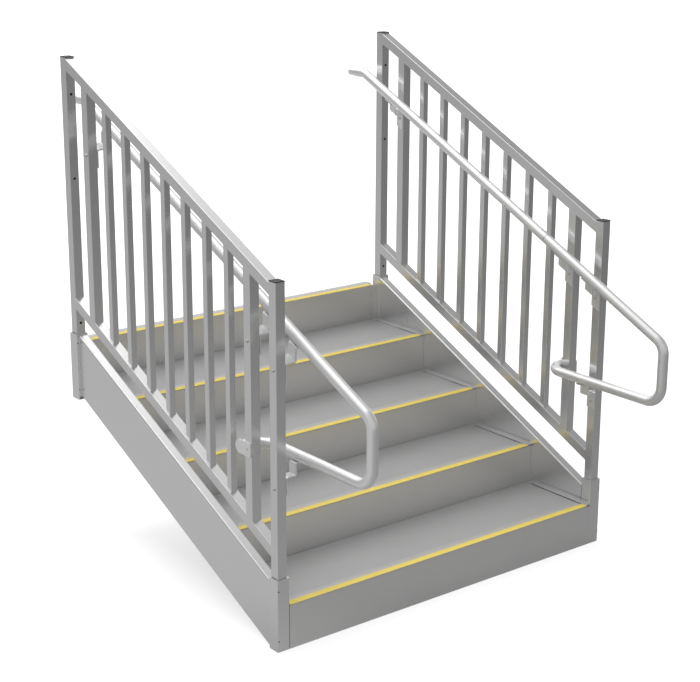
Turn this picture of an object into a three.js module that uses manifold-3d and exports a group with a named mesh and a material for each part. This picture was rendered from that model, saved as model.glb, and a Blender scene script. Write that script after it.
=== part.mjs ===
// Aluminium access stair with two lift-out guards, in millimetres.
// X runs across the flight, Y up the flight and Z up; Y is zero at the front posts until the last lines.
import * as THREE from "three";
import { mergeVertices } from "three/addons/utils/BufferGeometryUtils.js";
import Module from "manifold-3d";

const wasm = await Module();
wasm.setup();

// Fits and drawing settings
const seat = 0.3;
const weldBite = 0.5;
const cornerStep = 1;
const mergeTolerance = 0.0001;
const cornerSegments = 1;
const pipeSegments = 8;
const bendSegments = 8;

// Guards: a post at each end, pickets between two sloping rails
const pitch = 0.4675;
const guardCentreX = 756.7;
const postSize = 38.1;
const postWall = 3.2;
const postCorner = 3;
const postSpacing = 1302;
const postStand = 3.6;
const strongPicketOffset = 143.2;
const slimPicketCount = 7;
const slimPicketSize = 25.4;
const slimPicketWall = 2;
const slimPicketCorner = 2;
const topRailHeight = 1257.9;
const bottomRailHeight = 348.8;
const capThickness = 3;
const capPlug = 14;

// Sleeves that the posts stand in
const sleeveSize = 50.8;
const sleeveLength = 264;
const sleeveCorner = 7;
const sleeveInnerCorner = 2;
const socketClearance = 0.5;
const postLift = 1;

// Steps: risers with folded feet, channel treads and yellow edge strips
const stepCount = 5;
const firstRise = 165;
const stepRise = 155;
const topNosePast = 6;
const topNoseDepth = 63;
const plate = 5;
const ribDepth = 30;
const ribThickness = 5;
const midRibShare = 0.5;
const riserThickness = 4;
const riserFoot = 28;
const stripDepth = 27.5;
const stripThickness = 2;
const treadGap = 3;
const rightGap = 22.5;

// Stringers and the cleats under the treads
const stringerThickness = 38.1;
const stringerDrop = 246;
const stringerTopHeight = 223.6;
const stringerWall = 5;
const stringerCorner = 3;
const cleatReach = 50;
const cleatDrop = 32;
const cleatThickness = 5;
const cleatRunShare = 0.55;
const rearSleeveDrop = 222;

// Handrail pipe, its loop at the foot of the flight and its level end at the head
const pipeDiameter = 38.1;
const pipeWall = 3.2;
const pipeInset = 78.9;
const pipeHeight = 1094.4;
const splicePast = 71.8;
const loopReach = 393.7;
const loopLowHeight = 684.9;
const loopTopBend = 57;
const loopLowBend = 68;
const outwardBend = 80;
const outwardPast = 42.8;
const headBendPast = 23;
const headPipePast = 82;
const headPlugPast = 119;
const plugStep = 2.5;
const endPlateThickness = 5;
const endPlateHeight = 50.8;

// Stepped brackets: drops are measured from the pipe's axis, offsets from the guard's inner face
const strap = 4.8;
const footDrop = 126;
const shelfDrop = 67.5;
const legOffset = 40;
const padReach = 69.65;

// Values that follow from the sizes above
const slopeStretch = Math.hypot(1, pitch);
const guardInner = guardCentreX - postSize / 2;
const guardOuter = guardCentreX + postSize / 2;
const stairHalfWidth = guardCentreX - sleeveSize / 2;
const railHalfDepth = (postSize / 2) * slopeStretch;
const firstNoseY = -sleeveSize / 2;
const topNoseY = postSpacing + topNosePast;
const stepRun = (topNoseY - firstNoseY) / (stepCount - 1);
const noseOf = (step) => firstNoseY + stepRun * step;
const topOf = (step) => firstRise + stepRise * step;
const rearSleeveHeight = topOf(stepCount - 1) - rearSleeveDrop;
const climb = (y) => pitch * y;

const pipeX = guardCentreX - pipeInset;
const pipeRadius = pipeDiameter / 2;
const pipeBore = pipeRadius - pipeWall;
const strongPicketYs = [strongPicketOffset, postSpacing - strongPicketOffset];
const picketPitch = (strongPicketYs[1] - strongPicketYs[0]) / (slimPicketCount + 1);
const spliceY = strongPicketYs[0] + splicePast;
const outwardY = strongPicketYs[0] + outwardPast;
const headBendY = postSpacing + headBendPast;
const headPipeEndY = postSpacing + headPipePast;
const headPlugEndY = postSpacing + headPlugPast;

const aluminium = { color: 0xa9abad, metalness: 0.6, roughness: 0.45 };
const ribbed = { color: 0xb4b6b8, metalness: 0.6, roughness: 0.5 };
const black = { color: 0x1c1c1e, metalness: 0, roughness: 0.6 };
const yellow = { color: 0xe6cf3c, metalness: 0, roughness: 0.7 };
const stair = new THREE.Group();

// A closed geometry as a solid that can be joined and cut.
function solid(geometry) {
  const bare = geometry.clone();
  bare.deleteAttribute("normal");
  bare.deleteAttribute("uv");
  const merged = mergeVertices(bare, mergeTolerance);
  const mesh = new wasm.Mesh({
    numProp: 3,
    vertProperties: merged.attributes.position.array,
    triVerts: new Uint32Array(merged.index.array),
  });
  return new wasm.Manifold(mesh);
}

// The geometry of a joined or cut solid.
function surface(body) {
  const mesh = body.getMesh();
  const geometry = new THREE.BufferGeometry();
  geometry.setAttribute("position", new THREE.BufferAttribute(mesh.vertProperties, 3));
  geometry.setIndex(new THREE.BufferAttribute(mesh.triVerts, 1));
  const flat = geometry.toNonIndexed();
  flat.computeVertexNormals();
  return flat;
}

function add(name, geometry, finish) {
  const mesh = new THREE.Mesh(geometry, new THREE.MeshStandardMaterial(finish));
  mesh.name = name;
  stair.add(mesh);
}

// A closed outline from a list of [across, up] pairs.
function outline(pairs) {
  return new THREE.Shape(pairs.map(([across, up]) => new THREE.Vector2(across, up)));
}

function rectangle(left, right, low, high) {
  return outline([[left, low], [right, low], [right, high], [left, high]]);
}

// A centred rectangle with round corners.
function roundedRectangle(width, height, radius) {
  const x = width / 2 - radius;
  const y = height / 2 - radius;
  const turn = Math.PI / 2;
  const shape = new THREE.Shape();
  shape.absarc(x, y, radius, 0, turn);
  shape.absarc(-x, y, radius, turn, 2 * turn);
  shape.absarc(-x, -y, radius, 2 * turn, 3 * turn);
  shape.absarc(x, -y, radius, 3 * turn, 4 * turn);
  shape.closePath();
  return shape;
}

// A rectangular tube's section; its inner corners are tighter than its outer ones.
function tubeSection(width, height, wall, corner, innerCorner = corner - cornerStep) {
  const shape = roundedRectangle(width, height, corner);
  shape.holes.push(roundedRectangle(width - 2 * wall, height - 2 * wall, innerCorner));
  return shape;
}

function extrude(shape, length) {
  return new THREE.ExtrudeGeometry(shape, {
    depth: length,
    bevelEnabled: false,
    curveSegments: cornerSegments,
  });
}

// A section drawn in X and Y, run up from one height to another.
function alongZ(shape, low, high) {
  return extrude(shape, high - low).translate(0, 0, low);
}

// A section drawn in X and Z, run from one Y to another.
function alongY(shape, front, rear) {
  return extrude(shape, rear - front).rotateX(Math.PI / 2).translate(0, rear, 0);
}

// A section drawn in Y and Z, run from one X to another.
function alongX(shape, left, right, curveSegments = cornerSegments) {
  const across = new THREE.Matrix4().makeBasis(
    new THREE.Vector3(0, 1, 0),
    new THREE.Vector3(0, 0, 1),
    new THREE.Vector3(1, 0, 0),
  );
  const settings = { depth: right - left, bevelEnabled: false, curveSegments };
  return new THREE.ExtrudeGeometry(shape, settings).applyMatrix4(across).translate(left, 0, 0);
}

// Lays a level run on the slope: plumb ends stay plumb, and depths stay true square to the slope.
function incline(geometry, height) {
  const tilt = new THREE.Matrix4().makeShear(0, 0, 0, pitch, 0, 0);
  return geometry.scale(1, 1, slopeStretch).applyMatrix4(tilt).translate(0, 0, height);
}

// An upright between two sloping lines, its ends cut to the slope.
function upright(section, x, y, lowHeight, highHeight) {
  const geometry = extrude(section, 1).translate(x, y, 0);
  const position = geometry.attributes.position;
  for (let i = 0; i < position.count; i += 1) {
    const height = THREE.MathUtils.lerp(lowHeight, highHeight, position.getZ(i));
    position.setZ(i, height + climb(position.getY(i)));
  }
  return geometry;
}

// A path of straight runs and round bends, told by its corners and the bend radius at each.
class BentPath extends THREE.Curve {
  constructor(corners, radii) {
    super();
    this.stations = [];
    const last = corners.length - 1;
    corners.forEach((corner, i) => {
      const before = new THREE.Vector3().subVectors(corner, corners[Math.max(i - 1, 0)]).normalize();
      const after = new THREE.Vector3().subVectors(corners[Math.min(i + 1, last)], corner).normalize();
      if (i === 0 || i === last) {
        this.stations.push([corner, i === 0 ? after : before]);
        return;
      }
      const turn = before.angleTo(after);
      const radius = radii[i - 1];
      const inward = new THREE.Vector3().subVectors(after, before).normalize();
      const centre = corner.clone().addScaledVector(inward, radius / Math.cos(turn / 2));
      const axis = new THREE.Vector3().crossVectors(before, after).normalize();
      const start = corner.clone().addScaledVector(before, -radius * Math.tan(turn / 2));
      for (let k = 0; k <= bendSegments; k += 1) {
        const angle = (turn * k) / bendSegments;
        const spoke = new THREE.Vector3().subVectors(start, centre).applyAxisAngle(axis, angle);
        this.stations.push([spoke.add(centre), before.clone().applyAxisAngle(axis, angle)]);
      }
    });
    this.runs = this.stations.length - 1;
  }
  stationAt(share) {
    return this.stations[Math.round(share * this.runs)];
  }
  getPointAt(share) {
    return this.stationAt(share)[0].clone();
  }
  getTangentAt(share) {
    return this.stationAt(share)[1].clone();
  }
}

// A round tube along a path, or a round bar where the bore is zero.
function pipe(path, radius, bore) {
  const shape = new THREE.Shape();
  shape.absarc(0, 0, radius, 0, 2 * Math.PI);
  if (bore > 0) {
    const hole = new THREE.Path();
    hole.absarc(0, 0, bore, 0, 2 * Math.PI);
    shape.holes.push(hole);
  }
  return new THREE.ExtrudeGeometry(shape, {
    steps: path.runs,
    curveSegments: pipeSegments,
    extrudePath: path,
  });
}

// Posts with their caps. The rear sleeve stands higher than the front one, and so does its post.
function addPosts(sideName, x) {
  const reach = postSize / 2 + seat;
  const plugSize = postSize - 2 * (postWall + seat);
  const places = [
    ["front", 0, postLift, reach],
    ["rear", postSpacing, rearSleeveHeight + postLift, postSpacing - reach],
  ];
  for (const [place, y, low, railEnd] of places) {
    const top = topRailHeight + railHalfDepth + climb(railEnd) + postStand;
    const section = tubeSection(postSize, postSize, postWall, postCorner);
    add(`post_${place}_${sideName}`, alongZ(section, low, top).translate(x, y, 0), aluminium);
    const lidSection = roundedRectangle(postSize, postSize, postCorner);
    const plugSection = roundedRectangle(plugSize, plugSize, postCorner - cornerStep);
    const lid = solid(alongZ(lidSection, seat, seat + capThickness));
    const plug = solid(alongZ(plugSection, -capPlug, seat + weldBite));
    add(`cap_${place}_${sideName}`, surface(lid.add(plug)).translate(x, y, top), black);
  }
}

// Two sloping rails, a strong picket near each end and slim pickets evenly between them.
function addRailsAndPickets(sideName, x) {
  const front = postSize / 2 + seat;
  for (const [level, height] of [["top", topRailHeight], ["bottom", bottomRailHeight]]) {
    const section = tubeSection(postSize, postSize, postWall, postCorner);
    const run = incline(alongY(section, front, postSpacing - front), height).translate(x, 0, 0);
    add(`rail_${level}_${sideName}`, run, aluminium);
  }
  const low = bottomRailHeight + railHalfDepth + seat;
  const high = topRailHeight - railHalfDepth - seat;
  ["low", "high"].forEach((place, i) => {
    const section = tubeSection(postSize, postSize, postWall, postCorner);
    add(`picket_strong_${place}_${sideName}`, upright(section, x, strongPicketYs[i], low, high), aluminium);
  });
  for (let i = 1; i <= slimPicketCount; i += 1) {
    const section = tubeSection(slimPicketSize, slimPicketSize, slimPicketWall, slimPicketCorner);
    const y = strongPicketYs[0] + picketPitch * i;
    add(`picket_${i}_${sideName}`, upright(section, x, y, low, high), aluminium);
  }
}

function addSleeves(sideName, x) {
  const wall = (sleeveSize - postSize) / 2 - socketClearance;
  for (const [place, y, low] of [["front", 0, 0], ["rear", postSpacing, rearSleeveHeight]]) {
    const section = tubeSection(sleeveSize, sleeveSize, wall, sleeveCorner, sleeveInnerCorner);
    const sleeve = alongZ(section, low, low + sleeveLength).translate(x, y, 0);
    add(`sleeve_${place}_${sideName}`, sleeve, aluminium);
  }
}

// A box-section stringer, its foot cut level with the ground, with a cleat under each tread.
function addStringer(sideName, side) {
  const depth = stringerDrop / slopeStretch;
  const front = sleeveSize / 2 + seat;
  const rear = postSpacing - front;
  const section = tubeSection(stringerThickness, depth, stringerWall, stringerCorner);
  const sloped = incline(alongY(section, front, rear), stringerTopHeight - stringerDrop / 2);
  const belowGround = rectangle(front - stringerDrop, rear, -stringerDrop, 0);
  const ground = solid(alongX(belowGround, -stringerThickness, stringerThickness));
  const middle = side * (stairHalfWidth + stringerThickness / 2);
  let stringer = solid(sloped).subtract(ground).translate([middle, 0, 0]);
  const face = side * (stairHalfWidth + weldBite);
  const tip = side * (stairHalfWidth - cleatReach);
  const inner = side * (stairHalfWidth - cleatThickness);
  for (let step = 0; step < stepCount - 1; step += 1) {
    const top = topOf(step) - ribDepth - seat;
    const angle = outline([
      [face, top],
      [tip, top],
      [tip, top - cleatThickness],
      [inner, top - cleatThickness],
      [inner, top - cleatDrop],
      [face, top - cleatDrop],
    ]);
    const start = Math.max(noseOf(step) + riserThickness, sleeveSize / 2) + seat;
    const end = noseOf(step) + stepRun * cleatRunShare + ribThickness + seat;
    stringer = stringer.add(solid(alongY(angle, start, end)));
  }
  add(`stringer_${sideName}`, surface(stringer), aluminium);
}

// The bracket's stepped strap: foot on the upright, shelf, leg and the pad under the pipe.
function bracketOutline(side, padDrop) {
  const toX = (offset) => side * (guardInner - offset);
  return outline([
    [toX(seat), -footDrop],
    [toX(seat + strap), -footDrop],
    [toX(seat + strap), -shelfDrop],
    [toX(legOffset + strap), -shelfDrop],
    [toX(legOffset + strap), -padDrop - strap],
    [toX(padReach), -padDrop - strap],
    [toX(padReach), -padDrop],
    [toX(legOffset), -padDrop],
    [toX(legOffset), strap - shelfDrop],
    [toX(seat), strap - shelfDrop],
  ]);
}

// The plate on the guard's outer face that closes the loop's outward end and reaches the strong picket.
function endPlate(side) {
  const halfHeight = endPlateHeight / 2;
  const front = strongPicketYs[0] - postSize / 2;
  const shape = new THREE.Shape();
  shape.moveTo(front, loopLowHeight - halfHeight);
  shape.lineTo(outwardY, loopLowHeight - halfHeight);
  shape.absarc(outwardY, loopLowHeight, halfHeight, -Math.PI / 2, Math.PI / 2);
  shape.lineTo(front, loopLowHeight + halfHeight);
  shape.closePath();
  const near = guardOuter + seat;
  const far = near + endPlateThickness;
  return alongX(shape, side > 0 ? near : -far, side > 0 ? far : -near, pipeSegments);
}

// The handrail: a sloping length with a plugged level end, and a loop that turns back under it,
// runs level past the strong picket and bends out beyond the guard.
function addHandrail(sideName, side) {
  const x = side * pipeX;
  const axisAt = (y) => new THREE.Vector3(x, y, pipeHeight + climb(y));
  const head = axisAt(headBendY);
  const level = (y) => head.clone().setY(y);
  const upperPath = new BentPath([axisAt(spliceY), head, level(headPipeEndY)], [loopTopBend]);
  const plugPath = new BentPath([level(headPipeEndY - capPlug), level(headPlugEndY)], []);
  const upper = solid(pipe(upperPath, pipeRadius, pipeBore));
  const plug = solid(pipe(plugPath, pipeRadius - plugStep, 0));
  add(`handrail_upper_${sideName}`, surface(upper.add(plug)), aluminium);

  const loopCorners = [
    axisAt(spliceY - seat / slopeStretch),
    axisAt(-loopReach),
    new THREE.Vector3(x, -loopReach, loopLowHeight),
    new THREE.Vector3(x, outwardY, loopLowHeight),
    new THREE.Vector3(side * (guardOuter + seat + weldBite), outwardY, loopLowHeight),
  ];
  const loopPath = new BentPath(loopCorners, [loopTopBend, loopLowBend, outwardBend]);
  const levelBracket = alongY(bracketOutline(side, pipeRadius - weldBite), -postSize / 2, postSize / 2);
  const loop = solid(pipe(loopPath, pipeRadius, pipeBore))
    .add(solid(endPlate(side)))
    .add(solid(levelBracket.translate(0, 0, loopLowHeight)));
  add(`handrail_loop_${sideName}`, surface(loop), aluminium);

  const seats = [["front", 0], ["low", strongPicketYs[0]], ["high", strongPicketYs[1]]];
  for (const [place, y] of seats) {
    const profile = bracketOutline(side, pipeRadius + seat);
    const bracket = incline(alongY(profile, y - postSize / 2, y + postSize / 2), pipeHeight);
    add(`bracket_${place}_${sideName}`, bracket, aluminium);
  }
}

// A riser: a plain plate on the ground, or one with a foot folded forward under the tread below.
function riserProfile(step) {
  const front = noseOf(step);
  const back = front + riserThickness;
  const under = topOf(step) - plate - seat;
  if (step === 0) {
    return rectangle(front, back, 0, under);
  }
  const footTop = topOf(step - 1) - plate - seat;
  const footLow = footTop - riserThickness;
  return outline([
    [front - riserFoot, footLow],
    [back, footLow],
    [back, under],
    [front, under],
    [front, footTop],
    [front - riserFoot, footTop],
  ]);
}

// The front of a tread or of the top nosing: its plate with a rebate for the edge strip.
function nosePoints(step) {
  const front = noseOf(step);
  const top = topOf(step);
  const stripSeat = top - stripThickness - seat;
  const stripBack = front + stripDepth + seat;
  return [[front, top - plate], [front, stripSeat], [stripBack, stripSeat], [stripBack, top]];
}

// A tread: its plate with one rib behind the nose and one at mid depth.
function treadProfile(step) {
  const top = topOf(step);
  const low = top - ribDepth;
  const rear = noseOf(step + 1) - seat;
  const noseRib = noseOf(step) + riserThickness + seat;
  const midRib = noseOf(step) + stepRun * midRibShare;
  return outline([
    ...nosePoints(step),
    [rear, top],
    [rear, top - plate],
    [midRib + ribThickness, top - plate],
    [midRib + ribThickness, low],
    [midRib, low],
    [midRib, top - plate],
    [noseRib + ribThickness, top - plate],
    [noseRib + ribThickness, low],
    [noseRib, low],
    [noseRib, top - plate],
  ]);
}

function addSteps() {
  const riserHalf = stairHalfWidth - seat;
  const left = treadGap - stairHalfWidth;
  const right = stairHalfWidth - rightGap;
  for (let step = 0; step < stepCount; step += 1) {
    const name = step + 1;
    const front = noseOf(step);
    const top = topOf(step);
    const riser = alongX(riserProfile(step), -riserHalf, riserHalf);
    if (step < stepCount - 1) {
      add(`riser_${name}`, riser, aluminium);
      add(`tread_${name}`, alongX(treadProfile(step), left, right), ribbed);
    } else {
      // The top riser carries its nosing in one piece and laps the landing.
      const rear = front + topNoseDepth;
      const ledge = outline([...nosePoints(step), [rear, top], [rear, top - plate]]);
      const neck = rectangle(front, front + riserThickness, top - 2 * plate, top - plate + weldBite);
      const joined = solid(riser)
        .add(solid(alongX(neck, left, -left)))
        .add(solid(alongX(ledge, left, -left)));
      add(`riser_${name}`, surface(joined), aluminium);
    }
    const strip = rectangle(front, front + stripDepth, top - stripThickness, top);
    add(`edge_strip_${name}`, alongX(strip, left, right), yellow);
  }
}

for (const [sideName, side] of [["left", -1], ["right", 1]]) {
  const x = side * guardCentreX;
  addPosts(sideName, x);
  addRailsAndPickets(sideName, x);
  addSleeves(sideName, x);
  addStringer(sideName, side);
  addHandrail(sideName, side);
}
addSteps();

// The frame's origin: middle of the footprint, on the ground
const frontmost = -loopReach - pipeRadius;
stair.position.y = -(frontmost + headPlugEndY) / 2;

export default stair;
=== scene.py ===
# %% [markdown]
# An aluminium access stair stands on a pale floor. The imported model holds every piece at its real
# size. This script keeps that frame and gives each piece its finished surface: tubes with round
# corners, a smooth bent handrail, ribbed treads, yellow step edges and the small fasteners.

# %% Load the frame
import contextlib
import math

import bmesh
import bpy
from mathutils import Matrix, Vector


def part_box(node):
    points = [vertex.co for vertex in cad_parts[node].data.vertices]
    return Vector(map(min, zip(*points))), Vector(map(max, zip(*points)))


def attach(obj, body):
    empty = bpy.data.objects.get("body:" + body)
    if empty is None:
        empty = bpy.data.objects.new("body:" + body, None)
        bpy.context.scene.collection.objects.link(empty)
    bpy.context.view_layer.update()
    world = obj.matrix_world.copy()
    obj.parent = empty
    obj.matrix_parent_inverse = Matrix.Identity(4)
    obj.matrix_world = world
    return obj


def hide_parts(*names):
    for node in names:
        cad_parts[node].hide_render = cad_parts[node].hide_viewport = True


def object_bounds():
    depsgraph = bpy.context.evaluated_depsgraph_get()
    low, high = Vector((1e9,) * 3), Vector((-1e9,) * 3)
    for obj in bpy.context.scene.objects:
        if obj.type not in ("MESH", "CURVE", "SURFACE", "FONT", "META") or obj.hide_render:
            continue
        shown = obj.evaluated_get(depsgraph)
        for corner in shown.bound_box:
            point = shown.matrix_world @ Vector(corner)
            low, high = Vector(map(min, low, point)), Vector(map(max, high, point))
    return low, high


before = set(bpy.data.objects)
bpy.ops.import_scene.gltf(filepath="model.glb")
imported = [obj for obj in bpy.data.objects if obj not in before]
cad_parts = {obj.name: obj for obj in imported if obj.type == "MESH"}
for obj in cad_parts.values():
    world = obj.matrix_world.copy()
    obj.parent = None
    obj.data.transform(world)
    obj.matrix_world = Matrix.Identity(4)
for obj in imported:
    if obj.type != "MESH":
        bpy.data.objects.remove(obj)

cad_low, cad_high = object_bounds()
print("nodes:", len(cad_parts), "box:", [round(v, 3) for v in cad_high - cad_low])

# %% [markdown]
# Sizes come from the frame where a node's box tells them. The slope, the bends and the walls can't
# be read from a box, so they are named here in metres, once.

# %% Read the driving sizes
mm = 0.001
SIDES = (("left", -1), ("right", 1))
pitch = 0.4675
stretch = math.hypot(1, pitch)
post_wall = 3.2 * mm
post_corner = 1.8 * mm
post_low, post_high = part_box("post_front_right")
post_size = post_high.x - post_low.x
rail_half = post_size / 2 * stretch
rail_front, rail_rear = (corner.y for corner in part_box("rail_top_right"))


def middle_of(node):
    """The middle of a node's box, seen from above."""
    low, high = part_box(node)
    return (low.x + high.x) / 2, (low.y + high.y) / 2


def line_of(node):
    """The height of a sloping rail's middle line at any y, from its box."""
    low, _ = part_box(node)
    start = low.z + rail_half - pitch * low.y
    return lambda y: start + pitch * y


def new_object(name, data):
    made = bpy.data.objects.new(name, data)
    bpy.context.scene.collection.objects.link(made)
    return made


guard_x, front_y = middle_of("post_front_right")
_, rear_y = middle_of("post_rear_right")
guard_inner = guard_x - post_size / 2
guard_outer = guard_x + post_size / 2
top_line = line_of("rail_top_right")
bottom_line = line_of("rail_bottom_right")
print("guards at x =", round(guard_x, 4), "posts", round(rear_y - front_y, 3), "m apart")

# %% [markdown]
# The camera stands at the left of the foot of the flight, a little above the guards, and looks down
# along it. Its place, aim and focal length were fitted to straight edges of the real stair.

# %% Place the camera
camera_place = Vector((-3.75994, -4.637645, 2.58871))
azimuth = math.radians(-38.64)
elevation = math.radians(-16.32)
roll = math.radians(0.27)
sensor_width = 36
focal_share = 1647.75 / 700

ahead = Vector((
    -math.sin(azimuth) * math.cos(elevation),
    math.cos(azimuth) * math.cos(elevation),
    math.sin(elevation),
))
level_right = Vector((math.cos(azimuth), math.sin(azimuth), 0))
level_up = level_right.cross(ahead)
camera_right = level_right * math.cos(roll) + level_up * math.sin(roll)
camera_up = camera_right.cross(ahead)
camera = new_object("camera", bpy.data.cameras.new("camera"))
camera.data.sensor_width = sensor_width
camera.data.lens = sensor_width * focal_share
turn = Matrix((camera_right, camera_up, -ahead)).transposed().to_4x4()
camera.matrix_world = Matrix.Translation(camera_place) @ turn
bpy.context.scene.camera = camera
bpy.context.scene.view_settings.view_transform = "Standard"
print("lens:", round(camera.data.lens, 2), "mm")

# %% [markdown]
# Node trees are easier to read as expressions. A Wire is one output socket, and arithmetic on it
# adds Math nodes. A Graph adds any other node from its type, what goes into its sockets and its
# settings, and has short names for the few nodes that are used again and again.

# %% Node helpers
class Wire:
    """One output socket of a node tree. Arithmetic on it adds Math nodes."""

    def __init__(self, graph, socket):
        self.graph = graph
        self.socket = socket

    def __add__(self, other):
        return self.graph.maths("ADD", self, other)

    def __sub__(self, other):
        return self.graph.maths("SUBTRACT", self, other)

    def __rsub__(self, other):
        return self.graph.maths("SUBTRACT", other, self)

    def __mul__(self, other):
        return self.graph.maths("MULTIPLY", self, other)

    __radd__ = __add__
    __rmul__ = __mul__

    def also(self, name):
        """Another output of the same node."""
        return Wire(self.graph, self.socket.node.outputs[name])


class Graph:
    """A node tree under construction."""

    def __init__(self, tree):
        self.tree = tree

    def link(self, wire, socket):
        self.tree.links.new(wire.socket, socket)

    def node(self, kind, inputs=None, settings=None, out=0):
        made = self.tree.nodes.new(kind)
        for key, value in (settings or {}).items():
            setattr(made, key, value)
        for key, value in (inputs or {}).items():
            if isinstance(value, Wire):
                self.link(value, made.inputs[key])
            else:
                made.inputs[key].default_value = value
        return Wire(self, made.outputs[out]) if made.outputs else made

    def maths(self, operation, first, second=0):
        return self.node("ShaderNodeMath", {0: first, 1: second}, {"operation": operation})

    def vector_maths(self, operation, *vectors):
        inputs = dict(enumerate(vectors))
        return self.node("ShaderNodeVectorMath", inputs, {"operation": operation}, "Value")

    def vector(self, **parts):
        return self.node("ShaderNodeCombineXYZ", parts)

    def parts(self, vector):
        """The X of a vector, whose node also has the Y and the Z."""
        return self.node("ShaderNodeSeparateXYZ", {0: vector})

    def ease(self, value, start, end, low, high):
        """Goes smoothly from low to high as a value goes from start to end."""
        limits = {"Value": value, "From Min": start, "From Max": end, "To Min": low, "To Max": high}
        return self.node("ShaderNodeMapRange", limits, {"interpolation_type": "SMOOTHSTEP"})

    def object_place(self):
        return self.node("ShaderNodeTexCoord", out="Object")

    def noise(self, place, scale, detail, roughness=0.6, stretch_by=None):
        """A noise value, on coordinates stretched along each axis where that is asked for."""
        if stretch_by:
            place = self.node("ShaderNodeMapping", {"Vector": place, "Scale": stretch_by})
        inputs = {"Vector": place, "Scale": scale, "Detail": detail, "Roughness": roughness}
        return self.node("ShaderNodeTexNoise", inputs)

    def blend(self, amount, first, second):
        """Two colours mixed by an amount."""
        inputs = {0: amount, 6: first, 7: second}
        return self.node("ShaderNodeMix", inputs, {"data_type": "RGBA"}, 2)

    def bump(self, strength, depth, height):
        inputs = {"Strength": strength, "Distance": depth, "Height": height}
        return self.node("ShaderNodeBump", inputs)


def emptied(data):
    """The graph of a material or a world, with nothing in it."""
    data.use_nodes = True
    data.node_tree.nodes.clear()
    return Graph(data.node_tree)


def grey(value, warmth=0.0):
    """A grey of that linear value, with a little red added and blue taken away."""
    return (value * (1 + warmth), value, value * (1 - warmth), 1)


print("node helpers ready")

# %% [markdown]
# The floor is a wide pale sheet. Its lit colour keeps the stair's real soft shadow, and under the
# stair a painted shadow takes part of its glow away. To the camera it is white paper. The metal
# sees the same sheet a little darker, with painted light on it: a glow that is bright on the
# camera's left and behind the stair, and dimmer on the right. That painted light is what makes the
# front faces darker than the sides.

# %% Lay the floor
floor_radius = 60
floor_edges = 64
floor_shade = 0.5
paper_near, paper_far = 0.7, 0.84
paper_start, paper_end = 1.5, 6
# The share of the paper's glow that is left in the painted shadow under the stair.
painted_shadow_glow = 0.8
# Painted light seen by the metal: only this share of the floor's real lit colour shows in its
# reflections, and the floor glows to them at these levels, bright on the left and behind the stair
# and dim on the right.
mirror_share = 0.25
painted_light_left, painted_light_right, painted_light_behind = 0.43, 0.245, 0.95
left_loss, right_loss = 0.01, 0.03
left_least, right_least = 0.3, 0.1
left_limit, right_limit = -0.8, 0.25
behind_start, behind_end, behind_narrowing = 1.5, 4, 0.7
# How far the painted shadow under the stair fades in at its edges.
under_margin = 0.25
stair_front, stair_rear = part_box("riser_1")[0].y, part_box("sleeve_rear_right")[1].y
rightwards = (math.cos(azimuth), math.sin(azimuth), 0)
backwards = (-math.sin(azimuth), math.cos(azimuth), 0)


def light_paths(graph):
    """Camera rays, and the rays that metal and glass send out."""
    paths = graph.node("ShaderNodeLightPath", out="Is Camera Ray")
    return paths, paths.also("Is Glossy Ray") + paths.also("Is Transmission Ray")


def outside_painted_shadow(graph, place):
    """A painted shadow: zero on the floor under the stair and one outside it."""
    across = graph.parts(place)
    lengthwise = across.also("Y")
    aside = graph.maths("ABSOLUTE", across)
    beside = graph.ease(aside, cad_high.x - under_margin, cad_high.x, 0, 1)
    before = graph.ease(lengthwise, stair_front, stair_front + under_margin, 1, 0)
    beyond = graph.ease(lengthwise, stair_rear - under_margin, stair_rear, 0, 1)
    return graph.maths("MAXIMUM", beside, graph.maths("MAXIMUM", before, beyond))


def floor_material():
    material = bpy.data.materials.new("floor_paper")
    graph = emptied(material)
    seen, mirrored = light_paths(graph)
    place = graph.object_place()
    across = graph.vector_maths("DOT_PRODUCT", place, rightwards)
    aside = graph.maths("ABSOLUTE", across)
    behind = graph.vector_maths("DOT_PRODUCT", place, backwards) - aside * behind_narrowing
    behind = graph.ease(behind, behind_start, behind_end, 0, 1)
    distance = graph.vector_maths("LENGTH", place)
    on_right = graph.ease(across, left_limit, right_limit, 0, 1)
    # The painted light that the metal sees on the floor: bright on the left and behind, dim on the
    # right.
    left_glow = graph.maths("MAXIMUM", painted_light_left - aside * left_loss, left_least)
    right_glow = graph.maths("MAXIMUM", painted_light_right - aside * right_loss, right_least)
    painted_mirror_light = left_glow + on_right * (right_glow - left_glow)
    painted_mirror_light = painted_mirror_light + behind * (painted_light_behind - painted_mirror_light)
    paper_glow = graph.ease(distance, paper_start, paper_end, paper_near, paper_far)
    # To the metal's rays most of the lit floor is swapped for black, and the painted light is added
    # on top.
    lit, dark = (graph.node("ShaderNodeBsdfDiffuse", {"Color": grey(shade)})
                 for shade in (floor_shade, 0))
    kept = graph.node("ShaderNodeMixShader", {0: (1 - mirror_share) * mirrored, 1: lit, 2: dark})
    past_painted_shadow = outside_painted_shadow(graph, place)
    # Painted shadow: under the stair the paper's glow drops to a share of it, and the painted light
    # in the metal's reflections goes out.
    paper_glow = seen * paper_glow * (painted_shadow_glow + (1 - painted_shadow_glow) * past_painted_shadow)
    glow = paper_glow + mirrored * painted_mirror_light * past_painted_shadow
    paper_and_painted_light = graph.node("ShaderNodeEmission", {"Strength": glow})
    both = graph.node("ShaderNodeAddShader", {0: kept, 1: paper_and_painted_light})
    graph.node("ShaderNodeOutputMaterial", {"Surface": both})
    return material


bpy.ops.mesh.primitive_circle_add(vertices=floor_edges, radius=floor_radius, fill_type="NGON")
floor = bpy.context.object
floor.name = "floor"
floor.data.materials.append(floor_material())
print("floor radius:", floor_radius, "m")

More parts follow.
